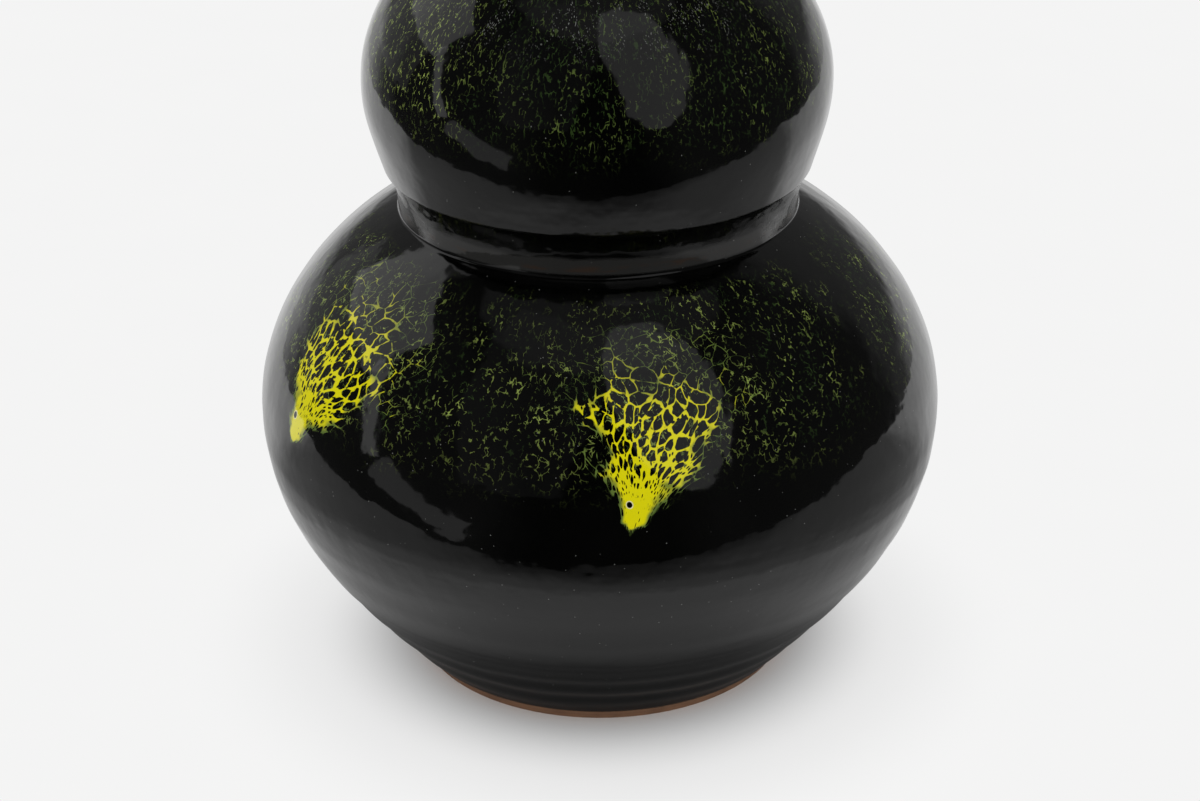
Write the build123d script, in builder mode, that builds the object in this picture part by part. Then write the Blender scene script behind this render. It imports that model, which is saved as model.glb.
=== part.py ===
"""Double gourd vase: two thrown stoneware bulbs luted together at a collar, with a thrown-on neck, a black
glaze outside and a liner glaze inside. Millimetres, +Z up, origin under the middle of the foot."""

import os
from math import acos, cos, radians, sin, sqrt, tan

from build123d import *

# Lower bulb, over the glaze
belly_radius = 100.0
belly_height = 79.0  # of the widest circle above the table
shoulder_rise = 76.0  # from the belly to the top of the shoulder's oval
flare_angle = 39.5  # of the lower wall from upright at the foot, degrees
flare_share = 0.32  # how long the lower wall keeps to its flare
swell_share = 0.445  # how long it keeps upright below the belly

# Foot, bare clay
foot_radius = 56.0
foot_line_height = 3.7  # of the glaze's lower edge
foot_line_step = 2.3  # by which the foot widens up to that edge
foot_ring_width = 7.5
foot_ring_slope = 2.0  # by which the ring's inside leans in
recess_depth = 4.0  # turned out under the floor

# Soft turning rings on the lower wall
ring_count = 4
ring_pitch = 11.0  # up the wall from crest to crest
ring_depth = 0.34

# Collar and upper bulb, over the glaze
collar_height = 13.3  # from the shoulder to the upper bulb's ledge
collar_lean = 2.5  # by which the collar widens up to the ledge
cove_depth = 0.7  # by which the collar's side is hollow
cove_share = 0.5  # height of the hollow's deepest circle
upper_radius = 66.6
upper_drop = 24.6  # from its widest circle down to the ledge
upper_rise = 52.0  # and up to the top of its oval
ledge_inset = 5.3  # from its widest circle in to the ledge
ledge_lean = 17.2  # of its side from upright at the ledge, degrees
lean_share = 0.56  # how long its side keeps to that lean
upright_share = 0.31  # how long it keeps upright below the widest circle
ledge_overhang = 1.2  # of the upper bulb past the collar's top
edge_round = 0.7
crease_round = 0.9  # of the glaze that gathers where the collar stands

# Neck, over the glaze
neck_base_radius = 24.5
neck_radius = 20.0
neck_height = 20.0
neck_share = 0.45  # height of the neck's narrowest circle
lip_radius = 24.0
lip_thickness = 4.0

# Walls, coats and joints
lower_wall = 6.5
floor_thickness = 7.5
floor_fillet = 9.0
collar_wall = 7.0
upper_wall = 5.5
neck_base_wall = 5.0
neck_wall = 4.5
glaze = 0.8
glaze_roll = 0.4  # rounding of the glaze's lower edge
liner = 0.6
slip = 0.5
tongue_share = 0.6  # width of a joint's tongue in its face
tongue_depth = 1.5


def oval_height(radius, width, rise):
    """Height over its widest circle at which an oval has narrowed to a radius."""
    return rise * sqrt(1 - (radius / width) ** 2)


# Radii and heights that follow from them
flare = Vector(sin(radians(flare_angle)), cos(radians(flare_angle)))
foot_line_radius = foot_radius + foot_line_step
floor_height = recess_depth + floor_thickness
floor_radius = (
    foot_line_radius
    + (floor_height - foot_line_height) * tan(radians(flare_angle))
    - lower_wall / cos(radians(flare_angle))
)
inner_belly = belly_radius - glaze - lower_wall
inner_shoulder = shoulder_rise - glaze - lower_wall

lean = Vector(sin(radians(ledge_lean)), cos(radians(ledge_lean)))
edge_radius = upper_radius - ledge_inset
collar_radius = edge_radius - ledge_overhang - collar_lean
collar_clay_radius = collar_radius - glaze
collar_top_radius = collar_clay_radius + collar_lean
throat_radius = collar_clay_radius - collar_wall

crease_height = belly_height + oval_height(collar_radius, belly_radius, shoulder_rise)
rim_height = belly_height + oval_height(
    collar_clay_radius, belly_radius - glaze, shoulder_rise - glaze
)
cove_height = crease_height + cove_share * collar_height
ledge_height = crease_height + collar_height
seat_height = ledge_height + glaze  # underside of the upper bulb's clay
upper_height = ledge_height + upper_drop
inner_upper = upper_radius - glaze - upper_wall
inner_rise = upper_rise - glaze - upper_wall

neck_clay_radius = neck_base_radius - glaze
neck_bore_radius = neck_clay_radius - neck_base_wall
neck_start = upper_height + oval_height(neck_base_radius, upper_radius, upper_rise)
neck_rim_height = upper_height + oval_height(
    neck_clay_radius, upper_radius - glaze, upper_rise - glaze
)
neck_waist_height = neck_start + neck_share * neck_height
lip_height = neck_start + neck_height
lip_middle_radius = lip_radius - glaze - lip_thickness / 2
lip_middle_height = lip_height - glaze - lip_thickness / 2
lip_inner_radius = lip_middle_radius - lip_thickness / 2


def oval(height, width, rise, start_radius, end_radius):
    """Draws an oval's side from one radius to another, round a centre on the axis. A negative rise hangs down."""
    start, end = acos(start_radius / width), acos(end_radius / width)
    bow = cos((end - start) / 2)
    stations = ((start, 1), ((start + end) / 2, bow), (end, 1))
    Bezier(
        *((width * cos(a) / w, height + rise * sin(a) / w) for a, w in stations),
        weights=[1, bow, 1],
    )


def foot_line(depth):
    """Where the glaze's lower edge lies, at a depth in the glaze."""
    return Vector(foot_line_radius + glaze - depth, foot_line_height)


def swell(start, width, mode=Mode.ADD):
    """Draws a wall that leaves its start at the flare and is upright at the belly."""
    reach = belly_height - start.Y
    return Bezier(
        start,
        start + flare * (flare_share * reach),
        (width, belly_height - swell_share * reach),
        (width, belly_height),
        mode=mode,
    )


def ring_line():
    """Draws the lower wall in the face of the glaze, with its turning rings, and returns its lower end."""
    wall = swell(foot_line(0), belly_radius, Mode.PRIVATE)
    quarters = 4 * ring_count - 1
    points = []
    for quarter in range(quarters + 1):
        share = quarter * ring_pitch / 4 / wall.length
        along = wall % share
        inward = ring_depth * (1 + sin(radians(90 * quarter))) / 2
        points.append(wall @ share + Vector(-along.Y, along.X) * inward)
    for start in range(0, quarters - 2, 2):
        ThreePointArc(*points[start : start + 3])
    TangentArc(points[-1], points[-2], tangent=-(wall % share))
    add(wall.trim(share, 1))
    return points[0]


def shoulder_line(depth):
    """Draws the lower bulb's shoulder, at a depth in the glaze, from the belly to the collar."""
    width = belly_radius - depth
    oval(belly_height, width, shoulder_rise - depth, width, collar_radius - depth)


def lower_line(depth):
    """Draws the lower bulb's plain outside, at a depth in the glaze, from the foot line to the collar."""
    swell(foot_line(depth), belly_radius - depth)
    shoulder_line(depth)


def collar_line(depth, bottom, top):
    """Draws the collar's hollow outside between two heights."""
    ThreePointArc(
        (collar_radius - depth, bottom),
        (collar_radius + cove_share * collar_lean - cove_depth - depth, cove_height),
        (collar_radius + collar_lean - depth, top),
    )


def upper_line(depth, bottom):
    """Draws the upper bulb's outside from its lower edge to the neck, and returns that edge's radius."""
    width, rise = upper_radius - depth, upper_height - bottom
    edge = Vector(edge_radius - depth + (bottom - ledge_height) * tan(radians(ledge_lean)), bottom)
    Bezier(
        edge,
        edge + lean * (lean_share * rise),
        (width, upper_height - upright_share * rise),
        (width, upper_height),
    )
    oval(upper_height, width, upper_rise - depth, width, neck_base_radius - depth)
    return edge.X


def neck_line(depth, bottom):
    """Draws the neck's outside and the round of its lip."""
    lip_round = lip_thickness / 2 + glaze - depth
    ThreePointArc(
        (neck_base_radius - depth, bottom),
        (neck_radius - depth, neck_waist_height),
        (lip_middle_radius + lip_round, lip_middle_height),
    )
    ThreePointArc(
        (lip_middle_radius + lip_round, lip_middle_height),
        (lip_middle_radius, lip_middle_height + lip_round),
        (lip_middle_radius - lip_round, lip_middle_height),
    )


def neck_bore_line(depth):
    """Draws the neck's inside, at a depth over the clay, from the lip down to the bulb."""
    ThreePointArc(
        (lip_inner_radius - depth, lip_middle_height),
        (neck_radius - glaze - neck_wall - depth, neck_waist_height),
        (neck_bore_radius - depth, neck_rim_height + slip),
    )


def upper_chamber_line(depth):
    """Draws the upper bulb's inside from the neck's bore down to the throat."""
    bore, width, rise = (r - depth for r in (neck_bore_radius, inner_upper, inner_rise))
    throat = throat_radius - depth
    drop = (upper_height - seat_height) / sqrt(1 - (throat / width) ** 2)
    top = upper_height + oval_height(bore, width, rise)
    Line((bore, neck_rim_height), (bore, top))
    oval(upper_height, width, rise, bore, width)
    oval(upper_height, width, -drop, width, throat)


def lower_chamber_line(depth, top):
    """Draws the lower bulb's inside from the throat down to the middle of the floor, and returns the floor's edge."""
    throat, width, rise = (r - depth for r in (throat_radius, inner_belly, inner_shoulder))
    floor_edge = Vector(floor_radius - depth, floor_height + depth)
    Line((throat, top), (throat, belly_height + oval_height(throat, width, rise)))
    oval(belly_height, width, rise, throat, width)
    swell(floor_edge, width)
    Line(floor_edge, (0, floor_height + depth))
    return floor_edge


def luting_face(inner, outer, height):
    """Points across a joint's face and its V, from its inner to its outer edge."""
    middle, half = (inner + outer) / 2, tongue_share * (outer - inner) / 2
    return [
        (inner, height),
        (middle - half, height),
        (middle, height - tongue_depth),
        (middle + half, height),
        (outer, height),
    ]


def luting_slip(inner, outer, height):
    """Draws the slip that fills a joint over the face at a height."""
    Polyline(
        *luting_face(inner, outer, height),
        *reversed(luting_face(inner, outer, height + slip)),
        close=True,
    )


with BuildPart() as lower_bulb:
    with BuildSketch(Plane.XZ) as lower_section:
        with BuildLine():
            Polyline(
                (0, recess_depth),
                (foot_radius - foot_ring_width - foot_ring_slope, recess_depth),
                (foot_radius - foot_ring_width, 0),
                (foot_radius, 0),
                foot_line(glaze),
            )
            lower_line(glaze)
            Polyline(*reversed(luting_face(throat_radius, collar_clay_radius, rim_height)))
            lower_floor_edge = lower_chamber_line(0, rim_height)
            Line((0, floor_height), (0, recess_depth))
        make_face()
        fillet(lower_section.vertices().sort_by_distance(lower_floor_edge)[0], floor_fillet)
    revolve(axis=Axis.Z)
lower_bulb.part.label = "lower_bulb"

with BuildPart() as lower_slip:
    with BuildSketch(Plane.XZ):
        with BuildLine():
            luting_slip(throat_radius, collar_clay_radius, rim_height)
        make_face()
    revolve(axis=Axis.Z)
lower_slip.part.label = "lower_slip"

with BuildPart() as waist_collar:
    with BuildSketch(Plane.XZ):
        with BuildLine():
            Polyline(*luting_face(throat_radius, collar_clay_radius, rim_height + slip))
            collar_line(glaze, rim_height + slip, seat_height - slip)
            Polyline(
                *reversed(luting_face(throat_radius, collar_top_radius, seat_height - slip)),
                (throat_radius, rim_height + slip),
            )
        make_face()
    revolve(axis=Axis.Z)
waist_collar.part.label = "waist_collar"

with BuildPart() as upper_slip:
    with BuildSketch(Plane.XZ):
        with BuildLine():
            luting_slip(throat_radius, collar_top_radius, seat_height - slip)
        make_face()
    revolve(axis=Axis.Z)
upper_slip.part.label = "upper_slip"

with BuildPart() as upper_bulb:
    with BuildSketch(Plane.XZ):
        with BuildLine():
            upper_edge_radius = upper_line(glaze, seat_height)
            Polyline(
                *luting_face(throat_radius, collar_top_radius, seat_height),
                (upper_edge_radius, seat_height),
            )
            Polyline(*reversed(luting_face(neck_bore_radius, neck_clay_radius, neck_rim_height)))
            upper_chamber_line(0)
        make_face()
    revolve(axis=Axis.Z)
upper_bulb.part.label = "upper_bulb"

with BuildPart() as neck_slip:
    with BuildSketch(Plane.XZ):
        with BuildLine():
            luting_slip(neck_bore_radius, neck_clay_radius, neck_rim_height)
        make_face()
    revolve(axis=Axis.Z)
neck_slip.part.label = "neck_slip"

with BuildPart() as neck:
    with BuildSketch(Plane.XZ):
        with BuildLine():
            Polyline(*luting_face(neck_bore_radius, neck_clay_radius, neck_rim_height + slip))
            neck_line(glaze, neck_rim_height + slip)
            neck_bore_line(0)
        make_face()
    revolve(axis=Axis.Z)
neck.part.label = "neck"

with BuildPart() as outer_glaze:
    with BuildSketch(Plane.XZ) as glaze_section:
        with BuildLine():
            # Face of the coat, from the foot to the lip
            glaze_foot = ring_line()
            shoulder_line(0)
            collar_line(0, crease_height, ledge_height)
            Line((collar_radius + collar_lean, ledge_height), (edge_radius, ledge_height))
            upper_line(0, ledge_height)
            neck_line(0, neck_start)
            Line(
                (lip_inner_radius - glaze, lip_middle_height),
                (lip_inner_radius, lip_middle_height),
            )
            # Its back, on the clay and the edges of the slip
            Line(glaze_foot, foot_line(glaze))
            lower_line(glaze)
            Line(
                (collar_clay_radius, rim_height),
                (collar_clay_radius, rim_height + slip),
            )
            collar_line(glaze, rim_height + slip, seat_height - slip)
            Polyline(
                (collar_top_radius, seat_height - slip),
                (collar_top_radius, seat_height),
                (upper_edge_radius, seat_height),
            )
            upper_line(glaze, seat_height)
            Line(
                (neck_clay_radius, neck_rim_height),
                (neck_clay_radius, neck_rim_height + slip),
            )
            neck_line(glaze, neck_rim_height + slip)
        make_face()
        for corner, size in (
            (Vector(edge_radius, ledge_height), edge_round),
            (Vector(collar_radius, crease_height), crease_round),
            (glaze_foot, glaze_roll),
        ):
            fillet(glaze_section.vertices().sort_by_distance(corner)[0], size)
    revolve(axis=Axis.Z)
outer_glaze.part.label = "outer_glaze"

with BuildPart() as liner_glaze:
    with BuildSketch(Plane.XZ) as liner_section:
        with BuildLine():
            liner_floor_edges = []
            for coat in (0, liner):
                neck_bore_line(coat)
                Line(
                    (neck_bore_radius - coat, neck_rim_height + slip),
                    (neck_bore_radius - coat, neck_rim_height),
                )
                upper_chamber_line(coat)
                liner_floor_edges.append(lower_chamber_line(coat, seat_height))
            Line(
                (lip_inner_radius, lip_middle_height),
                (lip_inner_radius - liner, lip_middle_height),
            )
            Line((0, floor_height), (0, floor_height + liner))
        make_face()
        for corner, size in zip(liner_floor_edges, (floor_fillet, floor_fillet - liner)):
            fillet(liner_section.vertices().sort_by_distance(corner)[0], size)
    revolve(axis=Axis.Z)
liner_glaze.part.label = "liner_glaze"

os.makedirs("parts", exist_ok=True)
export_step(lower_bulb.part, "parts/lower_bulb.step")
export_step(lower_slip.part, "parts/lower_slip.step")
export_step(waist_collar.part, "parts/waist_collar.step")
export_step(upper_slip.part, "parts/upper_slip.step")
export_step(upper_bulb.part, "parts/upper_bulb.step")
export_step(neck_slip.part, "parts/neck_slip.step")
export_step(neck.part, "parts/neck.step")
export_step(outer_glaze.part, "parts/outer_glaze.step")
export_step(liner_glaze.part, "parts/liner_glaze.step")
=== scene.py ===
"""Looks of the double gourd vase: gloss black with yellow webbing, over clay that is bare at the foot."""

from math import acos, cos, pi, radians, sin, sqrt, tan

import bpy
import numpy as np
from mathutils import Matrix, Vector, noise


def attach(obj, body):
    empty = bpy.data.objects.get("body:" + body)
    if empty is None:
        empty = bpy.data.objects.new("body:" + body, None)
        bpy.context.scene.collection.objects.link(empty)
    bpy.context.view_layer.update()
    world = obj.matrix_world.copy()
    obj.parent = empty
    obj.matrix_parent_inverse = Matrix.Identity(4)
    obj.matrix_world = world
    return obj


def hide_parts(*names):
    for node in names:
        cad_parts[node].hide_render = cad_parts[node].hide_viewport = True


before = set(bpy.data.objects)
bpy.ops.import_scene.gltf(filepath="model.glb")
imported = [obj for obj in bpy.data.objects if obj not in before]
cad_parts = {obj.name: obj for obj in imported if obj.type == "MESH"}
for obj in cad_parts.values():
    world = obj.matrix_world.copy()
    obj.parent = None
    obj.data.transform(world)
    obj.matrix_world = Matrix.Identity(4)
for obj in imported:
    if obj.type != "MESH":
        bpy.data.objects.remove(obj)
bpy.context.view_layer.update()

MM = 0.001

# Profile of the coat in millimetres and degrees, as the part's source has it
belly_radius = 100.0
belly_height = 79.0
shoulder_rise = 76.0
flare_angle = 39.5
flare_share = 0.32
swell_share = 0.445
foot_radius = 56.0
foot_line_height = 3.7
foot_line_step = 2.3
ring_count = 4
ring_pitch = 11.0
ring_depth = 0.34
collar_height = 13.3
collar_lean = 2.5
cove_depth = 0.7
cove_share = 0.5
upper_radius = 66.6
upper_drop = 24.6
upper_rise = 52.0
ledge_inset = 5.3
ledge_lean = 17.2
lean_share = 0.56
upright_share = 0.31
ledge_overhang = 1.2
edge_round = 0.7
crease_round = 0.9
neck_base_radius = 24.5
neck_radius = 20.0
neck_height = 20.0
neck_share = 0.45
lip_radius = 24.0
lip_thickness = 4.0
glaze = 0.8
glaze_roll = 0.4

# The coat's mesh
segments = 256
face_step = 1.15  # between rows on the face
back_step = 6.0  # between rows on the clay
corner_round = 0.5  # of the glaze in the corner under the ledge
neck_round = 2.5  # of the glaze where the neck stands
curve_points = 400  # on a curve before its rows are spaced
arc_points = 200
bend_points = 7
ledge_points = 5

# Unevenness of the coat: height in mm, wavelength in mm
throwing = ((0.05, 15.0), (0.03, 9.5))
throwing_drift = 3.0  # radians that the throwing marks wander round the vase
throwing_wander = 40.0  # climb over which they do
throwing_top = 60.0  # climb from which they die away
throwing_fade = 25.0
swells = ((0.16, 34.0), (0.1, 12.0))
foot_settle = 6.0  # climb over which the coat comes true to the foot line and to the lip
lip_settle = 12.0

flare = np.array((sin(radians(flare_angle)), cos(radians(flare_angle))))
foot_line = np.array((foot_radius + foot_line_step + glaze, foot_line_height))
ledge_way = np.array((sin(radians(ledge_lean)), cos(radians(ledge_lean))))
edge_radius = upper_radius - ledge_inset
collar_radius = edge_radius - ledge_overhang - collar_lean
crease_height = belly_height + shoulder_rise * sqrt(1 - (collar_radius / belly_radius) ** 2)
ledge_height = crease_height + collar_height
upper_height = ledge_height + upper_drop
neck_start = upper_height + upper_rise * sqrt(1 - (neck_base_radius / upper_radius) ** 2)
lip_middle_radius = lip_radius - glaze - lip_thickness / 2
lip_middle_height = neck_start + neck_height - glaze - lip_thickness / 2


def run_along(line):
    """How far along a line each of its points lies."""
    return np.concatenate(([0], np.cumsum(np.linalg.norm(np.diff(line, axis=0), axis=1))))


def evenly(line, step):
    """A dense line's points, respaced to about one step."""
    run = run_along(line)
    at = np.linspace(0, run[-1], max(2, round(run[-1] / step) + 1))
    return np.stack([np.interp(at, run, line[:, k]) for k in (0, 1)], 1)


def oval(height, width, rise, start_radius, end_radius):
    """An oval's side from one radius to another, round a centre on the axis."""
    turn = np.linspace(acos(start_radius / width), acos(end_radius / width), curve_points)
    return np.stack([width * np.cos(turn), height + rise * np.sin(turn)], 1)


def arc(first, middle, last):
    """The arc through three points."""
    a, b, c = (np.array(p, float) for p in (first, middle, last))
    centre = np.linalg.solve(2 * np.array((b - a, c - a)), np.array((b @ b - a @ a, c @ c - a @ a)))
    turns = np.unwrap([np.arctan2(*(p - centre)[::-1]) for p in (a, b, c)])
    turn = np.linspace(turns[0], turns[2], arc_points)
    return centre + np.hypot(*(a - centre)) * np.stack([np.cos(turn), np.sin(turn)], 1)


def rising(start, way, keep, width, height, upright):
    """A wall that keeps to its first way for a share of its rise, and ends upright at a circle."""
    rise = height - start[1]
    t = np.linspace(0, 1, curve_points)[:, None]
    ends = start, start + way * keep * rise, (width, height - upright * rise), (width, height)
    weights = 1, 3, 3, 1
    return sum(w * (1 - t) ** (3 - k) * t**k * np.array(p) for k, (w, p) in enumerate(zip(weights, ends)))


def rounded(before, after, size):
    """Two lines joined where they meet, with the corner between them rounded."""
    corner = before[-1]
    into, out = (v / np.hypot(*v) for v in (corner - before[-2], after[1] - corner))
    reach = size * tan(acos(np.clip(into @ out, -1, 1)) / 2)
    start, end = corner - into * reach, corner + out * reach
    t = np.linspace(0, 1, bend_points)[:, None]
    bend = (1 - t) ** 2 * start + 2 * t * (1 - t) * corner + t**2 * end
    far = [line[np.hypot(*(line - corner).T) > reach] for line in (before, after)]
    return np.concatenate((far[0], bend, far[1]))


def ringed(wall):
    """A wall with the turning rings in its lower part, the last of them ending flush."""
    ahead = np.gradient(wall, axis=0)
    inward = np.stack([-ahead[:, 1], ahead[:, 0]], 1) / np.linalg.norm(ahead, axis=1)[:, None]
    run = run_along(wall)
    wave = ring_depth * (1 + np.sin(2 * pi * run / ring_pitch)) / 2
    return wall + inward * np.where(run < (ring_count - 0.25) * ring_pitch, wave, 0)[:, None]


def lower_line(depth, step):
    """The lower bulb's outside at a depth in the coat, from the foot line to the collar."""
    width = belly_radius - depth
    wall = evenly(rising(foot_line - (depth, 0), flare, flare_share, width, belly_height, swell_share), step)
    if depth == 0:
        wall = ringed(wall)
    shoulder = evenly(oval(belly_height, width, shoulder_rise - depth, width, collar_radius - depth), step)
    return np.concatenate((wall[:-1], shoulder))


def collar_line(depth, step):
    """The collar's hollow outside."""
    cove = crease_height + cove_share * collar_height
    return evenly(
        arc(
            (collar_radius - depth, crease_height - depth / 2),
            (collar_radius + cove_share * collar_lean - cove_depth - depth, cove),
            (collar_radius + collar_lean - depth, ledge_height + depth),
        ),
        step,
    )


def upper_line(depth, step):
    """The upper bulb's outside from its lower edge to the neck."""
    width = upper_radius - depth
    edge = np.array((edge_radius - depth + depth * tan(radians(ledge_lean)), ledge_height + depth))
    below = evenly(rising(edge, ledge_way, lean_share, width, upper_height, upright_share), step)[:-1]
    above = evenly(oval(upper_height, width, upper_rise - depth, width, neck_base_radius - depth), step)
    return np.concatenate((below, above))


def neck_line(depth, step, start):
    """The neck's outside from the upper bulb to the round of the lip."""
    lip = lip_thickness / 2 + glaze - depth
    middle = np.array((lip_middle_radius, lip_middle_height))
    waist = neck_radius - depth, neck_start + neck_share * neck_height
    outside, top, inside = middle + (lip, 0), middle + (0, lip), middle - (lip, 0)
    wall = evenly(arc(start, waist, outside), step)[:-1]
    return np.concatenate((wall, evenly(arc(outside, top, inside), step / 2)))


def coat_line(depth, step):
    """One side of the coat from the foot line to the inside of the lip."""
    collar = collar_line(depth, step)
    upper = upper_line(depth, step)
    ledge = np.linspace(collar[-1], upper[0], ledge_points)
    line = rounded(lower_line(depth, step), collar, crease_round)
    line = rounded(line, ledge, corner_round)
    line = rounded(line, upper, edge_round)
    return rounded(line, neck_line(depth, step, upper[-1]), neck_round)


def unevenness(point, climb, turn):
    """How far the coat's face lies off its true form at a point."""
    off = 0
    for k, (height, length) in enumerate(throwing):
        drift = throwing_drift * noise.noise(Vector((0, k, climb / throwing_wander)))
        off += height * sin(2 * pi * climb / length + turn * (k + 1) + drift)
    off *= 1 / (1 + (max(climb - throwing_top, 0) / throwing_fade) ** 2)
    return off + sum(height * noise.noise(point / length) for height, length in swells)


def build_coat():
    """The glaze as one closed skin, uneven on its face, with each point's climb along it from the foot."""
    face, back = coat_line(0, face_step), coat_line(glaze, back_step)[::-1]
    tip = [face[0] - (glaze_roll, glaze_roll / 8), face[0] + (-glaze_roll / 6, glaze_roll / 4)]
    face = np.concatenate((tip, face[1:]))
    climb = run_along(face)
    ahead = np.gradient(face, axis=0)
    normal = np.stack([ahead[:, 1], -ahead[:, 0]], 1) / np.linalg.norm(ahead, axis=1)[:, None]
    turns = np.arange(segments) * 2 * pi / segments
    round_axis = np.stack([np.sin(turns), -np.cos(turns)], 1)

    off = np.zeros((len(face), segments))
    for row, ((radius, height), run) in enumerate(zip(face, climb)):
        for column, turn in enumerate(turns):
            x, y = radius * round_axis[column]
            off[row, column] = unevenness(Vector((x, y, height)), run, turn)
    settle = np.interp(climb, (0, foot_settle, climb[-1] - lip_settle, climb[-1]), (0, 1, 1, 0))
    off = (off - off.mean()) * settle[:, None]
    off = np.minimum(off, (belly_radius - face[:, 0])[:, None])

    rows = []
    for row, (radius, height) in enumerate(face):
        out = radius + off[row] * normal[row, 0]
        up = height + off[row] * normal[row, 1]
        rows.append(np.column_stack((round_axis * out[:, None], up)))
    for radius, height in back:
        rows.append(np.column_stack((round_axis * radius, np.full(segments, height))))

    count = len(rows)
    points = np.concatenate(rows) * MM
    row, column = np.meshgrid(np.arange(count), np.arange(segments), indexing="ij")
    above, beside = (row + 1) % count, (column + 1) % segments
    corners = (row, column), (row, beside), (above, beside), (above, column)
    quads = np.stack([r * segments + c for r, c in corners], -1)
    mesh = bpy.data.meshes.new("glaze_coat")
    mesh.from_pydata(points.tolist(), [], quads.reshape(-1, 4).tolist())
    mesh.shade_smooth()
    heights = np.concatenate((climb, np.linspace(climb[-1], 0, len(back))))
    attribute = mesh.attributes.new("climb", "FLOAT", "POINT")
    attribute.data.foreach_set("value", np.repeat(heights, segments).astype(np.float32))
    coat = bpy.data.objects.new("glaze_coat", mesh)
    bpy.context.scene.collection.objects.link(coat)
    return coat


class Nodes:
    """Shader nodes of a material or the world, wired by short calls that take and return sockets."""

    def __init__(self, owner):
        owner.use_nodes = True
        self.tree = owner.node_tree

    def make(self, kind, inputs=(), **settings):
        node = self.tree.nodes.new("ShaderNode" + kind)
        for name, value in settings.items():
            setattr(node, name, value)
        for key, value in dict(inputs).items():
            self.put(value, node.inputs[key])
        return node

    def put(self, value, socket):
        if isinstance(value, bpy.types.NodeSocket):
            self.tree.links.new(value, socket)
        else:
            socket.default_value = value

    def math(self, operation, *values):
        return self.make("Math", enumerate(values), operation=operation).outputs[0]

    def chain(self, operation, values):
        first, *others = values
        for value in others:
            first = self.math(operation, first, value)
        return first

    def total(self, *values):
        return self.chain("ADD", values)

    def product(self, *values):
        return self.chain("MULTIPLY", values)

    def most(self, *values):
        return self.chain("MAXIMUM", values)

    def absolute(self, value):
        return self.math("ABSOLUTE", value)

    def hypotenuse(self, x, y):
        return self.math("SQRT", self.total(self.product(x, x), self.product(y, y)))

    def vector(self, operation, *values):
        node = self.make("VectorMath", operation=operation)
        sockets = [s for s in node.inputs if s.enabled]
        for value, socket in zip(values, sockets):
            self.put(value, socket)
        return next(s for s in node.outputs if s.enabled)

    def join(self, x, y, z=0.0):
        return self.make("CombineXYZ", enumerate((x, y, z))).outputs[0]

    def split(self, vector):
        return self.make("SeparateXYZ", {0: vector}).outputs

    def fade(self, value, low, high, at_low=0.0, at_high=1.0):
        """Goes smoothly from one number to another as a value passes between two limits."""
        inputs = {"Value": value, "From Min": low, "From Max": high, "To Min": at_low, "To Max": at_high}
        return self.make("MapRange", inputs, interpolation_type="SMOOTHSTEP").outputs[0]

    def between(self, value, start, end, past=0.0):
        """One between two zones, fading in over the first and out over the second."""
        return self.product(self.fade(value, *start), self.fade(value, *end, 1.0, past))

    def noise(self, where, size, detail=1.0, shade="Fac"):
        inputs = {"Vector": where, "Scale": 1 / size, "Detail": detail}
        return self.make("TexNoise", inputs).outputs[shade]

    def cells(self, where, size, feature="F1", dimensions="3D"):
        inputs = {"Vector": where, "Scale": 1 / size}
        node = self.make("TexVoronoi", inputs, feature=feature, voronoi_dimensions=dimensions)
        return node.outputs["Distance"]

    def walls(self, where, size, dimensions="3D"):
        """One on the borders of a random pattern of rounded cells, falling to nought inside them."""
        near, next_near = (self.cells(where, size, rank, dimensions) for rank in ("F1", "F2"))
        return self.math("DIVIDE", near, next_near)

    def warp(self, where, size, reach):
        """Places moved about by noise."""
        drift = self.vector("SUBTRACT", self.noise(where, size, shade="Color"), (0.5, 0.5, 0.5))
        return self.vector("ADD", where, self.vector("SCALE", drift, reach))

    def stretched(self, place, shares):
        return self.vector("MULTIPLY", place, shares)

    def blend(self, share, first, second):
        inputs = {0: share, 6: first, 7: second}
        return self.make("Mix", inputs, data_type="RGBA").outputs[2]

    def millimetres(self):
        place = self.make("TexCoord").outputs["Object"]
        return self.vector("SCALE", place, 1 / MM)

    def bump(self, height, depth):
        return self.make("Bump", {"Height": height, "Distance": depth * MM, "Strength": 1.0}).outputs[0]


def new_material(name):
    material = bpy.data.materials.new(name)
    nodes = Nodes(material)
    return material, nodes, nodes.tree.nodes["Principled BSDF"]


# Colours of the glaze
black = (0.0003, 0.00035, 0.0003, 1)
soft_black = (0.001, 0.00105, 0.0009, 1)
yellow = (0.68, 0.63, 0.003, 1)
green = (0.10, 0.15, 0.03, 1)
leaf = (0.018, 0.035, 0.008, 1)
lime = (0.28, 0.36, 0.08, 1)
brown = (0.035, 0.017, 0.008, 1)
# Painted reflection: the grey of the band low on the collar, where the glaze mirrors light
painted_reflection_grey = (0.018, 0.0178, 0.017, 1)
dust = (0.28, 0.29, 0.27, 1)
cream = (0.75, 0.72, 0.5, 1)

# Colours of the clay, the slip and the liner
clay_pale, clay_dark = (0.31, 0.16, 0.085, 1), (0.19, 0.095, 0.05, 1)
slip_pale, slip_dark = (0.26, 0.17, 0.11, 1), (0.16, 0.10, 0.065, 1)
grog_pale = (0.34, 0.25, 0.18, 1)
liner_dark, liner_brown = (0.012, 0.009, 0.006, 1), (0.045, 0.024, 0.011, 1)

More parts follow.
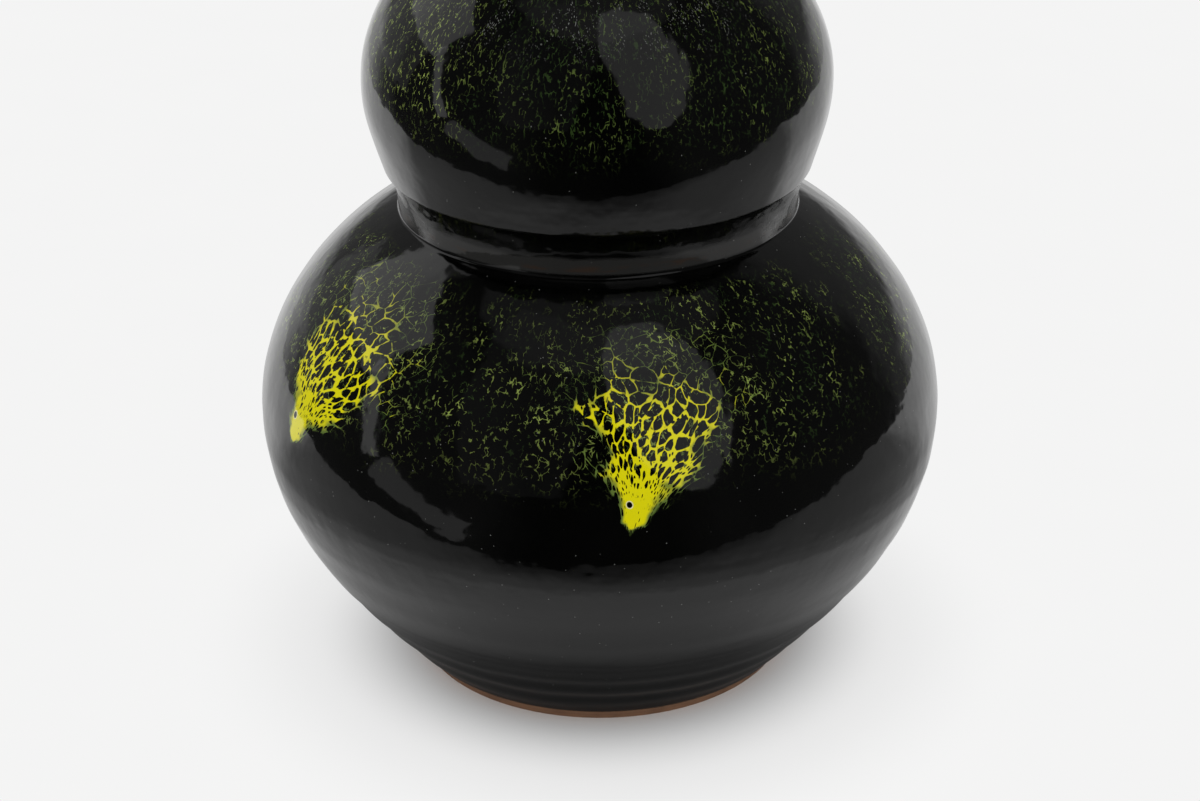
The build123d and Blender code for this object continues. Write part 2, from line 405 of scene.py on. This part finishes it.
# Fans of yellow webbing: azimuth in degrees from the front, climb of the root in mm, slant in degrees, size.
# The root is where the strands would meet. Reach is the distance from it, in mm at size 1, and angle is off
# the fan's middle in radians.
fans = (
    (-62.7, 92.0, 20.0, 1.25),
    (4.2, 91.0, 13.0, 1.1),
    (137.0, 94.0, 5.0, 0.95),
    (-131.0, 87.0, 12.0, 1.05),
)
fan_sector = 30.0  # degrees to each side that are a fan's own
fan_pattern_step = 77.0  # from one fan's pattern to the next one's, in cells
no_fan = (0.0, -200.0)  # a place that no fan reaches
fan_drift = (14.0, 3.0)  # size and reach of the wander of its strands
fan_cell_width = 0.078  # radians
fan_cell_length = 3.7
fan_cell_drift = (0.8, 0.45)  # wander of a cell's sides, in cells
fan_bay_size = 7.0  # of the bays in its outline
fan_patch_size = 4.5  # of its thick and thin places
fan_tip_zone = (6.5, 8.5)  # reach over which the webbing begins
fan_tip_bay = 5.0  # depth of the bays there
fan_tip_cut = 10.0  # how much farther out it begins, for each squared radian off the middle
fan_side_zone = (-0.21, 0.19)  # angle over which it ends, before its bays
fan_side_bay = 0.9  # depth of the bays there
fan_mouth_zone = (9.0, 24.0)  # reach over which it opens to its full width
fan_narrowing = 0.1  # radians that it is narrower before
fan_end_zone = (8.0, 40.0)  # reach over which it ends, before its bays
fan_end_bay = 36.0  # depth of the bays there
strand_tip_zone = (11.0, 25.0)  # reach over which the solid tip opens into strands
strand_thickness = (0.95, 0.34)  # before and after, as shares of a cell
strand_end_zone = (22.0, 46.0)  # reach over which the strands grow thin
strand_loss = 0.24  # of thickness there
strand_green_zone = (30.0, 52.0)  # reach over which they turn greener
bubble_size = 0.55  # in cells
bubble_zone = (10.0, 15.0)  # reach over which the bubbles in the strands begin
bubble_patch_size = 3.0
pinhole_radius = 0.8
pinhole_edge = 0.15
pinhole_place = (-1.9, 10.6)  # beside and above the root
rim_zones = ((-0.1, 0.0), (0.05, 0.25))  # from the pinhole's edge

# Loose threads, which lie along the sides of cells on a drum round the vase
drum_radius = 80.0
drum_squeeze = 0.7  # of heights, which draws the threads out downwards
drum_drifts = ((4.5, 2.4), (1.0, 1.25))  # size and reach of the threads' wander
thread_cell_size = 1.45
thread_gap_size = 1.4
thread_patch_size = 24.0
thread_tone_size = 7.0
shoulder_zones = ((100.0, 128.0), (156.0, 164.0))  # climb over which the threads begin and end
crown_zones = ((200.0, 216.0), (250.0, 275.0))
waist_zone = (180.0, 190.0)
halo_zone = (42.0, 72.0)  # reach of the dense threads round a fan
crown_left_zones = ((-2.0, -1.6), (-0.75, -0.5))  # radians from the front, where the crown is brightest
crown_side_zone = (0.4, 0.7)

# Specks of dust, and scum on the crown
speck_spacing = 2.2
speck_gap_size = 1.9
scum_spacing = 0.8
scum_patch_size = 6.0
scum_zones = ((230.0, 242.0), (255.0, 270.0))  # climb
scum_side_zone = (0.5, 0.9)

# Places where the coat runs thin, and a grey band painted on the collar as a reflection
thin_patch_size = 9.0
thin_patch_squeeze = (1.0, 1.0, 3.0)
# Painted reflection: the grey band on the collar begins and ends over these heights
band_start, band_end = (0.6, 1.4), (6.0, 7.4)  # above the crease, on the collar
band_bay = 2.0
streak_zones = ((1.6, 2.2), (3.0, 4.0))
foot_zone = (3.0, 10.0)  # climb
foot_bay = 6.0
lip_reach = 0.6  # below and above the lip's top

# The gloss face: size and height of its ripples in mm
cloud_size = 30.0
gloss_size = 14.0
ripples = ((4.5, 0.12), (10.0, 0.22))
ridge_squeeze = (0.18, 0.18, 1.0)
ridge_size = 3.4
ripple_depth = 0.6


def fan_places(n, turn, radius, climb):
    """Places across and along the nearest fan from its root, and which pattern it has."""
    spot = n.join(*no_fan)
    for k, (azimuth, root, slant, size) in enumerate(fans):
        round_to = n.math("WRAP", n.math("SUBTRACT", turn, radians(azimuth)), pi, -pi)
        aside, up = n.product(round_to, radius), n.math("SUBTRACT", climb, root)
        c, s = cos(radians(slant)) / size, sin(radians(slant)) / size
        across = n.math("SUBTRACT", n.product(aside, c), n.product(up, s))
        along = n.total(n.product(aside, s), n.product(up, c))
        near = n.math("LESS_THAN", n.absolute(round_to), radians(fan_sector))
        own = n.join(across, along, fan_pattern_step * k)
        spot = n.make("Mix", {0: near, 4: spot, 5: own}, data_type="VECTOR").outputs[1]
    return n.warp(spot, *fan_drift)


def webbing(n, spot):
    """The strands of the fans and how ripe they are."""
    across, along, pattern = n.split(spot)
    reach = n.hypotenuse(across, along)
    angle = n.math("ARCTAN2", across, along)
    column = n.total(n.product(angle, 1 / fan_cell_width), pattern)
    cell = n.warp(n.join(column, n.product(reach, 1 / fan_cell_length)), *fan_cell_drift)
    bays = n.noise(spot, fan_bay_size, 2.0)
    patchy = n.noise(spot, fan_patch_size, 2.0)

    tip = n.total(reach, n.product(patchy, fan_tip_bay), n.product(angle, angle, -fan_tip_cut))
    narrowing = n.fade(reach, *fan_mouth_zone, fan_narrowing, 0.0)
    side = n.total(n.absolute(angle), n.product(bays, -fan_side_bay), narrowing)
    end = n.math("MULTIPLY_ADD", bays, -fan_end_bay, reach)
    inside = n.product(
        n.fade(tip, *fan_tip_zone),
        n.fade(side, *fan_side_zone, 1.0, 0.0),
        n.fade(end, *fan_end_zone, 1.0, 0.0),
    )

    thick = n.fade(reach, *strand_tip_zone, *strand_thickness)
    thick = n.math("SUBTRACT", thick, n.fade(reach, *strand_end_zone, 0.0, strand_loss))
    thick = n.product(thick, n.math("MULTIPLY_ADD", patchy, 1.4, 0.3), n.fade(inside, 0.0, 0.6, 0.25, 1.0))
    strands = n.fade(n.total(n.walls(cell, 1.0, "2D"), thick), 0.96, 1.05)
    bubble = n.fade(n.walls(cell, bubble_size, "2D"), 0.35, 0.5, 1.0, 0.0)
    some = n.fade(n.noise(spot, bubble_patch_size), 0.42, 0.5)
    bubble = n.product(bubble, n.fade(reach, *bubble_zone), some)
    web = n.product(strands, n.fade(inside, 0.0, 0.12), n.math("SUBTRACT", 1.0, bubble))
    ripe = n.product(n.fade(inside, 0.15, 0.8), n.fade(reach, *strand_green_zone, 1.0, 0.6))
    return web, ripe, reach


def pinholes(n, spot):
    """A pit over each fan's tip, and the pale rim round it."""
    across, along, _ = n.split(spot)
    hole = n.vector("LENGTH", n.vector("SUBTRACT", n.join(across, along), (*pinhole_place, 0.0)))
    pit = n.fade(hole, pinhole_radius - pinhole_edge, pinhole_radius, 1.0, 0.0)
    rim = n.between(n.total(hole, -pinhole_radius), *rim_zones)
    return pit, rim


def loose_threads(n, drum, climb, turn, reach):
    """Threads over both shoulders, and which of them are bright."""
    shoulder = n.between(climb, *shoulder_zones)
    crown = n.between(climb, *crown_zones, 0.25)
    halo = n.fade(reach, *halo_zone, 0.8, 0.0)
    patches = n.most(n.fade(n.noise(drum, thread_patch_size, 2.0), 0.38, 0.62), halo, n.product(crown, 0.75))
    broken = n.fade(n.noise(drum, thread_gap_size), 0.5, 0.6)
    thread = n.fade(n.walls(drum, thread_cell_size), 0.85, 0.95)
    thread = n.product(thread, broken, n.most(shoulder, crown), patches)

    left = n.product(crown, n.between(turn, *crown_left_zones))
    tone = n.total(n.noise(drum, thread_tone_size, 2.0), n.product(halo, 0.08), n.product(left, 0.16))
    below = n.fade(climb, *waist_zone, 1.0, 0.0)
    sides = n.fade(n.absolute(turn), *crown_side_zone, 0.25, 0.6)
    bright = n.product(n.fade(tone, 0.42, 0.7), n.most(below, left, sides))
    return thread, bright


def specks(n, place, drum, climb, turn):
    """Dust all over, and more of it as scum in the middle of the crown."""
    speck = n.fade(n.cells(place, speck_spacing), 0.05, 0.09, 1.0, 0.0)
    speck = n.product(speck, n.fade(n.noise(place, speck_gap_size), 0.51, 0.59))
    scum = n.fade(n.cells(drum, scum_spacing), 0.16, 0.3, 1.0, 0.0)
    scum = n.product(scum, n.fade(n.noise(drum, scum_patch_size, 2.0), 0.48, 0.6))
    middle = n.fade(n.absolute(turn), *scum_side_zone, 1.0, 0.2)
    scum = n.product(scum, n.between(climb, *scum_zones, 0.3), middle)
    return n.most(speck, scum)


def thin_glaze_and_painted_band(n, place, z, climb):
    """A grey band low on the collar, painted as a reflection, and brown where the coat runs thin: on the
    band, at the foot and over the lip.
    """
    uneven = n.noise(n.stretched(place, thin_patch_squeeze), thin_patch_size, 3.0)
    stand = n.math("SUBTRACT", z, crease_height)
    # Painted reflection: a grey band low on the collar
    band_top = n.fade(n.math("MULTIPLY_ADD", uneven, band_bay, stand), *band_end, 1.0, 0.0)
    reflection_band = n.product(n.fade(stand, *band_start), band_top)
    streak = n.product(n.between(stand, *streak_zones), n.fade(uneven, 0.48, 0.64), 0.45)
    foot = n.fade(n.math("MULTIPLY_ADD", uneven, foot_bay, climb), *foot_zone, 1.0, 0.0)
    lip_top = lip_middle_height + lip_thickness / 2
    lip = n.product(n.fade(z, lip_top - lip_reach, lip_top + lip_reach), n.fade(uneven, 0.45, 0.62))
    return reflection_band, n.most(streak, n.product(foot, 0.3), lip)


def glaze_material():
    """Black gloss glaze with fans of yellow webbing, loose yellow-green threads and brown edges."""
    material, n, shader = new_material("black_glaze")
    place = n.millimetres()
    x, y, z = n.split(place)
    climb = n.make("Attribute", attribute_name="climb").outputs["Fac"]
    turn = n.math("ARCTAN2", x, n.product(y, -1.0))
    drum = n.join(
        n.product(n.math("SINE", turn), drum_radius),
        n.product(n.math("COSINE", turn), drum_radius),
        n.product(climb, drum_squeeze),
    )
    for drift in drum_drifts:
        drum = n.warp(drum, *drift)

    spot = fan_places(n, turn, n.hypotenuse(x, y), climb)
    web, ripe, reach = webbing(n, spot)
    pit, rim = pinholes(n, spot)
    thread, bright = loose_threads(n, drum, climb, turn, reach)
    speck = specks(n, place, drum, climb, turn)
    reflection_band, thin = thin_glaze_and_painted_band(n, place, z, climb)

    colour = n.blend(n.fade(n.noise(place, cloud_size, 3.0), 0.3, 0.7), black, soft_black)
    # Painted reflection: the grey band low on the collar
    colour = n.blend(reflection_band, colour, painted_reflection_grey)
    colour = n.blend(thin, colour, brown)
    colour = n.blend(thread, colour, n.blend(bright, leaf, lime))
    colour = n.blend(n.product(speck, 0.5), colour, dust)
    colour = n.blend(web, colour, n.blend(ripe, green, yellow))
    colour = n.blend(rim, colour, cream)
    colour = n.blend(pit, colour, black)
    n.put(colour, shader.inputs["Base Color"])
    n.put(n.math("MULTIPLY_ADD", n.noise(place, gloss_size, 4.0), 0.08, 0.03), shader.inputs["Roughness"])
    ridges = n.product(n.noise(n.stretched(place, ridge_squeeze), ridge_size), 0.08)
    waves = (n.product(n.noise(place, size), height) for size, height in ripples)
    n.put(n.bump(n.total(*waves, ridges, n.product(pit, -0.5)), ripple_depth), shader.inputs["Normal"])
    return material


# The fine lines of turning, mottle and grog of bare clay
turning_line_size = 0.7
mottle_size = 6.0
grog_spacing = 1.1
clay_grain_depth = 0.08


def clay_material(name, pale, dark):
    """Bare fired clay with grog and the fine lines of turning."""
    material, n, shader = new_material(name)
    place = n.millimetres()
    x, y, z = n.split(place)
    lines = n.noise(n.join(0.0, n.hypotenuse(x, y), z), turning_line_size, 3.0)
    mottle = n.noise(place, mottle_size, 4.0)
    grog = n.fade(n.cells(place, grog_spacing), 0.1, 0.2, 1.0, 0.0)
    share = n.total(n.product(lines, 0.5), n.product(mottle, 0.7), -0.1)
    tone = n.blend(n.fade(share, 0.25, 0.75), dark, pale)
    n.put(n.blend(n.product(grog, 0.35), tone, grog_pale), shader.inputs["Base Color"])
    n.put(n.math("MULTIPLY_ADD", mottle, 0.2, 0.68), shader.inputs["Roughness"])
    n.put(n.bump(n.total(lines, n.product(grog, 0.6)), clay_grain_depth), shader.inputs["Normal"])
    return material


# Runs of the liner glaze down the inside
liner_run_size = 5.0
liner_run_squeeze = (1.0, 1.0, 0.15)
liner_ripple_size = 5.0
liner_ripple_depth = 0.05


def liner_material():
    """Dark brown gloss glaze inside, with runs down the wall."""
    material, n, shader = new_material("liner_glaze")
    place = n.millimetres()
    runs = n.noise(n.stretched(place, liner_run_squeeze), liner_run_size, 3.0)
    n.put(n.blend(n.fade(runs, 0.35, 0.7), liner_dark, liner_brown), shader.inputs["Base Color"])
    n.put(n.math("MULTIPLY_ADD", runs, 0.15, 0.06), shader.inputs["Roughness"])
    n.put(n.bump(n.noise(place, liner_ripple_size, 2.0), liner_ripple_depth), shader.inputs["Normal"])
    return material


def dress(node, material):
    """Gives a CAD node's object its material."""
    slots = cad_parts[node].data.materials
    slots.clear()
    slots.append(material)


coat = build_coat()
coat.data.materials.append(glaze_material())
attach(coat, "root")
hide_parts("outer_glaze")

clay = clay_material("stoneware", clay_pale, clay_dark)
slip = clay_material("luting_slip", slip_pale, slip_dark)
for node in ("lower_bulb", "waist_collar", "upper_bulb", "neck"):
    dress(node, clay)
for node in ("lower_slip", "upper_slip", "neck_slip"):
    dress(node, slip)
dress("liner_glaze", liner_material())

# Table with a rounded front, as far as its edges in the room, in metres
table_middle = Vector((0.05, 0.415))
table_radius = 0.62
table_back = 1.3
table_front_points = 97

# White paper on the table: what the eye sees, and its tone in the glaze, which changes between limits in mm.
# That tone is painted shade and light: the vase's shadow round the foot, and the table's uneven light.
paper_white, paper_warm = (0.90, 0.90, 0.90, 1), (0.91, 0.91, 0.908, 1)
paper_grain_size = 40.0
# Painted light: over these zones a glow fades in for the eye, which paints the vase's shadow out
shadow_zones = ((50.0, 90.0, 0.75), (80.0, 130.0, 0.25))  # from the axis, with the share that ends there
# Painted shade and light in the glaze: a dark tone at the foot for the vase's shadow, rings that lighten it
# outwards and darken it towards the front, and lighter tones to the back and the sides
foot_painted_shadow = 0.2
ring_tones = ((72.0, 92.0, 0.4), (90.0, 118.0, 0.24), (142.0, 156.0, -0.26), (165.0, 195.0, -0.18))
back_zone, back_tone = (60.0, 160.0), 0.2
front_zone, front_tone = (-215.0, -140.0), -0.3
back_corner_zones, back_corner_tone = ((80.0, 220.0), (40.0, 120.0)), 0.42  # to each side, towards the back
foot_side_zones, foot_side_tone = ((40.0, 90.0), (110.0, 140.0)), 0.16  # to each side, from the axis


def paper_painted_light_and_shade(n, x, y, radius):
    """How bright the paper is in the glaze, with painted shade for the vase's shadow round the foot and
    painted light and shade across the table.
    """
    side = n.absolute(x)
    rings = (n.fade(radius, low, high, 0.0, change) for low, high, change in ring_tones)
    back = n.fade(y, *back_zone, 0.0, back_tone)
    front = n.fade(y, *front_zone, front_tone, 0.0)
    beside, towards_back = back_corner_zones
    corners = n.product(n.fade(side, *beside, 0.0, back_corner_tone), n.fade(y, *towards_back))
    beside, near_foot = foot_side_zones
    foot = n.product(n.fade(side, *beside, 0.0, foot_side_tone), n.fade(radius, *near_foot, 1.0, 0.0))
    return n.total(foot_painted_shadow, *rings, back, front, corners, foot)


def floor_material():
    """White studio paper: a painted glow makes it bright to the eye beyond the vase's own shadow, and
    painted shade makes it duller in the glaze.
    """
    material, n, shader = new_material("studio_paper")
    place = n.millimetres()
    x, y, _ = n.split(place)
    radius = n.hypotenuse(x, y)
    path = n.make("LightPath")
    seen = n.blend(n.noise(place, paper_grain_size, 3.0), paper_white, paper_warm)
    # Painted shade and light: the paper's tone in the glaze
    level = paper_painted_light_and_shade(n, x, y, radius)
    mirrored = n.join(level, level, level)
    n.put(n.blend(path.outputs["Is Glossy Ray"], seen, mirrored), shader.inputs["Base Color"])
    shader.inputs["Roughness"].default_value = 0.9
    shader.inputs["Specular IOR Level"].default_value = 0.0
    glow = n.make("Emission", {"Color": seen, "Strength": 1.0}).outputs[0]
    # Painted light: the glow for the eye grows outwards from the foot and lightens the vase's shadow
    lit = n.total(*(n.fade(radius, low, high, 0.0, share) for low, high, share in shadow_zones))
    open_floor = n.product(path.outputs["Is Camera Ray"], lit)
    mixed = n.make("MixShader", {0: open_floor, 1: shader.outputs[0], 2: glow}).outputs[0]
    n.put(mixed, n.tree.nodes["Material Output"].inputs["Surface"])
    return material


def build_table():
    """A flat sheet with a half-round front."""
    x, y = table_middle
    turns = np.linspace(0, pi, table_front_points)
    edge = [(x - table_radius * cos(t), y - table_radius * sin(t), 0) for t in turns]
    edge += [(x + table_radius, table_back, 0), (x - table_radius, table_back, 0)]
    mesh = bpy.data.meshes.new("table")
    mesh.from_pydata(edge, [], [range(len(edge))])
    mesh.materials.append(floor_material())
    table = bpy.data.objects.new("table", mesh)
    bpy.context.scene.collection.objects.link(table)
    return table


table = build_table()

# Soft boxes that face the vase's middle: azimuth from the front and elevation in degrees, then distance,
# width and height in metres, radiance, shape and lean in degrees
lamp_aim = Vector((0, 0, 0.11))
lamps = {
    "left_box": (-112, 36, 1.3, 0.9, 0.6, 0.52, "RECTANGLE", 0),
    "left_fill": (-121, 13, 1.3, 1.0, 0.55, 0.12, "RECTANGLE", 0),
    "left_strip": (-83, 14, 1.3, 0.14, 0.8, 0.6, "RECTANGLE", 24),
    "left_low_strip": (-58, -13, 0.9, 0.18, 0.55, 0.27, "RECTANGLE", 57),
    "front_panel": (-29, 40, 1.5, 1.1, 2.4, 0.04, "RECTANGLE", 0),
    "right_round": (29.5, 40, 1.5, 0.88, 2.35, 0.34, "ELLIPSE", 0),
}


def softbox(name, azimuth, elevation, distance, width, height, radiance, shape, lean):
    """A large dim lamp, placed by its direction from the vase."""
    lamp = bpy.data.lights.new(name, "AREA")
    lamp.shape = shape
    lamp.size, lamp.size_y = width, height
    area = width * height * (pi / 4 if shape == "ELLIPSE" else 1)
    lamp.energy = radiance * 4 * area
    box = bpy.data.objects.new(name, lamp)
    az, el = radians(azimuth), radians(elevation)
    away = Vector((sin(az) * cos(el), -cos(az) * cos(el), sin(el)))
    box.location = lamp_aim + away * distance
    facing = away.to_track_quat("Z", "Y").to_matrix()
    box.rotation_euler = (facing @ Matrix.Rotation(radians(lean), 3, "Z")).to_euler()
    box.visible_camera = False
    bpy.context.scene.collection.objects.link(box)


for name, values in lamps.items():
    softbox(name, *values)

# Brightness of the room: for light on the vase and more for the eye, and in the glaze on each side
room_light = 0.85
room_to_eye = 0.055
front_level = 0.012
side_level = 0.055
back_level = 0.16
far_table_level = 0.6
top_level = 0.13


def build_room():
    """A room that is pale for the eye and the light, and dark in front where the glaze mirrors it."""
    world = bpy.data.worlds.new("room")
    bpy.context.scene.world = world
    n = Nodes(world)
    x, y, z = n.split(n.make("TexCoord").outputs["Generated"])
    far_table = n.product(n.fade(y, 0.5, 0.85, 0.0, far_table_level), n.fade(z, -0.05, 0.1, 1.0, 0.0))
    behind = n.total(n.fade(y, 0.25, 0.5, front_level, back_level), far_table)
    overhead = n.fade(z, 0.86, 0.9, 0.0, top_level)
    beside = n.fade(n.absolute(x), 0.3, 0.7, front_level, side_level)
    mirrored = n.most(behind, overhead, beside)
    path = n.make("LightPath")
    plain = n.math("MULTIPLY_ADD", path.outputs["Is Camera Ray"], room_to_eye, room_light)
    inputs = {0: path.outputs["Is Glossy Ray"], 2: plain, 3: mirrored}
    level = n.make("Mix", inputs, data_type="FLOAT").outputs[0]
    background = n.tree.nodes["Background"]
    n.put(level, background.inputs["Strength"])
    background.inputs["Color"].default_value = (1, 1, 1, 1)
    world.cycles.sampling_method = "NONE"


build_room()

# Camera as the photo was taken, in metres, degrees and, for lens and sensor, millimetres
camera_target = Vector((0, 0, 0.076))
camera_aside = -0.00035
camera_distance = 0.8462
camera_tilt = 26.25
camera_roll = -0.53
camera_lens = 85.0
camera_sensor = 36.0


def place_camera():
    """Sets the camera before the vase, looking down on it."""
    camera = bpy.data.cameras.new("camera")
    camera.lens, camera.sensor_width = camera_lens, camera_sensor
    eye = bpy.data.objects.new("camera", camera)
    tilt = radians(camera_tilt)
    back, up = camera_distance * cos(tilt), camera_distance * sin(tilt)
    eye.location = camera_target + Vector((camera_aside, -back, up))
    facing = (camera_target - eye.location).to_track_quat("-Z", "Y").to_matrix()
    eye.rotation_euler = (facing @ Matrix.Rotation(radians(camera_roll), 3, "Z")).to_euler()
    bpy.context.scene.collection.objects.link(eye)
    bpy.context.scene.camera = eye


place_camera()
bpy.context.scene.view_settings.view_transform = "Standard"
